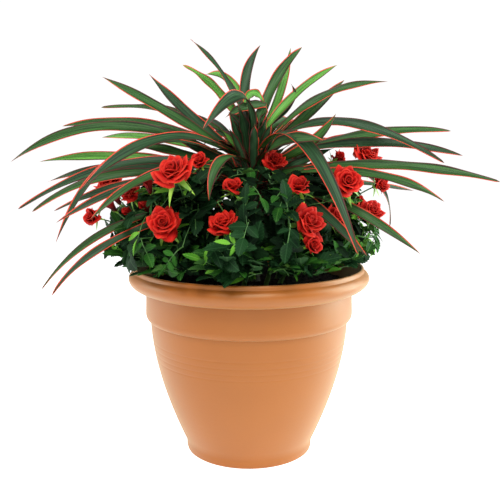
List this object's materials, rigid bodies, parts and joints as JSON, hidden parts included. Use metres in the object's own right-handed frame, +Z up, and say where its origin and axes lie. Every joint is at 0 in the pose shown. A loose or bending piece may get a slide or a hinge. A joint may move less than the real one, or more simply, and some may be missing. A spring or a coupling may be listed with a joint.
{
  "type": "artificial rose bush with strap leaves in a bell pot",
  "caption": "Potted artificial patio plant: red rose bush round a fountain of red-edged strap leaves, in a terracotta-coloured bell pot that stands on its flat base.",
  "frame": {"origin": "centre of the pot's flat underside", "axes": "+Z up through the pot's middle, -Y towards the front, +X to the right seen from the front"},
  "size_m": [0.6243, 0.4717, 0.5659],
  "materials": {
    "pot_plastic": "satin terracotta-coloured moulded plastic",
    "potting_fill": "dark crumbly potting fill, dull",
    "strap_stalk": "matt green-brown moulded stem",
    "strap_foliage": "dark green printed leaf with fine lengthwise streaks and red edges, satin",
    "rose_cane": "green moulded cane, satin",
    "rose_foliage": "green printed rose leaves with toothed edges and veins, with red petalled blooms"
  },
  "bodies": {
    "root": {"pot": "pot_plastic", "potting_soil": "potting_fill", "strap_stem": "strap_stalk", "crown_tuft": "strap_foliage", "strap_leaf_01": "strap_foliage", "strap_leaf_02": "strap_foliage", "strap_leaf_03": "strap_foliage", "strap_leaf_04": "strap_foliage", "strap_leaf_05": "strap_foliage", "strap_leaf_06": "strap_foliage", "strap_leaf_07": "strap_foliage", "strap_leaf_08": "strap_foliage", "strap_leaf_09": "strap_foliage", "strap_leaf_10": "strap_foliage", "strap_leaf_11": "strap_foliage", "strap_leaf_12": "strap_foliage", "strap_leaf_13": "strap_foliage", "strap_leaf_14": "strap_foliage", "strap_leaf_15": "strap_foliage", "strap_leaf_16": "strap_foliage", "strap_leaf_17": "strap_foliage", "strap_leaf_18": "strap_foliage", "strap_leaf_19": "strap_foliage", "strap_leaf_20": "strap_foliage", "strap_leaf_21": "strap_foliage", "strap_leaf_22": "strap_foliage", "strap_leaf_23": "strap_foliage", "strap_leaf_24": "strap_foliage", "strap_leaf_25": "strap_foliage", "strap_leaf_26": "strap_foliage", "strap_leaf_27": "strap_foliage", "strap_leaf_28": "strap_foliage", "strap_leaf_29": "strap_foliage", "strap_leaf_30": "strap_foliage", "strap_leaf_31": "strap_foliage", "strap_leaf_32": "strap_foliage", "strap_leaf_33": "strap_foliage", "strap_leaf_34": "strap_foliage", "strap_leaf_35": "strap_foliage", "strap_fan_1": "strap_foliage", "strap_fan_2": "strap_foliage", "strap_fan_3": "strap_foliage", "rose_cane_1": "rose_cane", "rose_mass_1": "rose_foliage", "rose_cane_2": "rose_cane", "rose_mass_2": "rose_foliage", "rose_cane_3": "rose_cane", "rose_mass_3": "rose_foliage", "rose_cane_4": "rose_cane", "rose_mass_4": "rose_foliage", "rose_cane_5": "rose_cane", "rose_mass_5": "rose_foliage", "rose_cane_6": "rose_cane", "rose_mass_6": "rose_foliage", "rose_cane_7": "rose_cane", "rose_mass_7": "rose_foliage", "rose_cane_8": "rose_cane", "rose_mass_8": "rose_foliage"}
  },
  "joints": []
}
